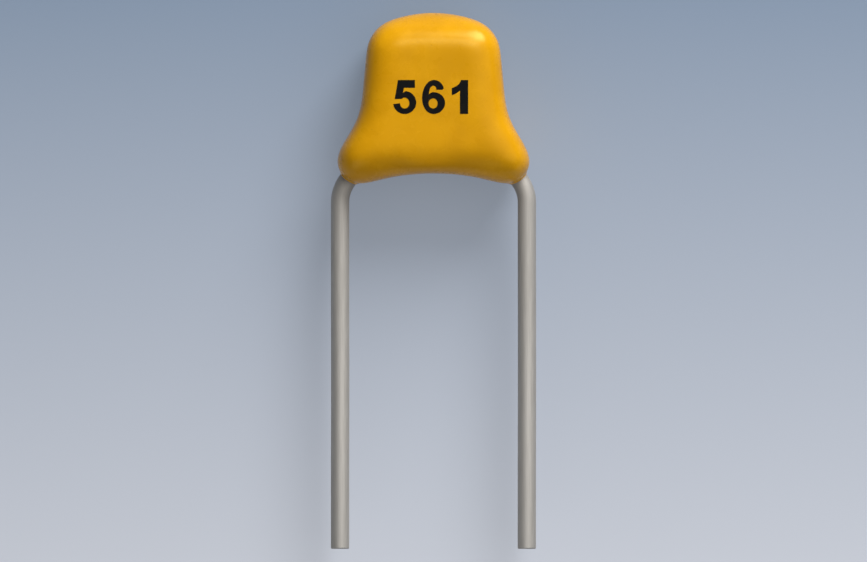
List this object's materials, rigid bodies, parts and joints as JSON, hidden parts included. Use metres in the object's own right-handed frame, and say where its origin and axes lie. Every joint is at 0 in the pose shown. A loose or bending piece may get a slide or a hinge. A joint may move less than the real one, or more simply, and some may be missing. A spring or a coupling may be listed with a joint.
{
  "type": "multilayer ceramic capacitor",
  "caption": "Radial multilayer ceramic capacitor: a chip soldered between two round leads and dipped in a bell-shaped epoxy coating.",
  "frame": {"origin": "midway between the two leads, on their axes, at the seating plane where their straight lower stretch begins", "axes": "+X across the leads, to the right as the marked face is seen; +Y away from the board, towards the rounded top of the body; +Z out of the marked face. The part lies on its flat back."},
  "size_m": [0.0056, 0.0145, 0.0024],
  "materials": {
    "coating": "gloss",
    "ceramic": "matte",
    "electrode": "satin",
    "termination": "satin",
    "barrier": "satin",
    "solder": "satin",
    "lead": "satin"
  },
  "bodies": {
    "root": {"barrier_left": "barrier", "barrier_right": "barrier", "ceramic_block": "ceramic", "electrode_left_01": "electrode", "electrode_left_02": "electrode", "electrode_left_03": "electrode", "electrode_left_04": "electrode", "electrode_left_05": "electrode", "electrode_left_06": "electrode", "electrode_left_07": "electrode", "electrode_left_08": "electrode", "electrode_left_09": "electrode", "electrode_left_10": "electrode", "electrode_right_01": "electrode", "electrode_right_02": "electrode", "electrode_right_03": "electrode", "electrode_right_04": "electrode", "electrode_right_05": "electrode", "electrode_right_06": "electrode", "electrode_right_07": "electrode", "electrode_right_08": "electrode", "electrode_right_09": "electrode", "electrode_right_10": "electrode", "epoxy_coating": "coating", "lead_left": "lead", "lead_right": "lead", "solder_left": "solder", "solder_right": "solder", "termination_left": "termination", "termination_right": "termination"}
  },
  "joints": []
}
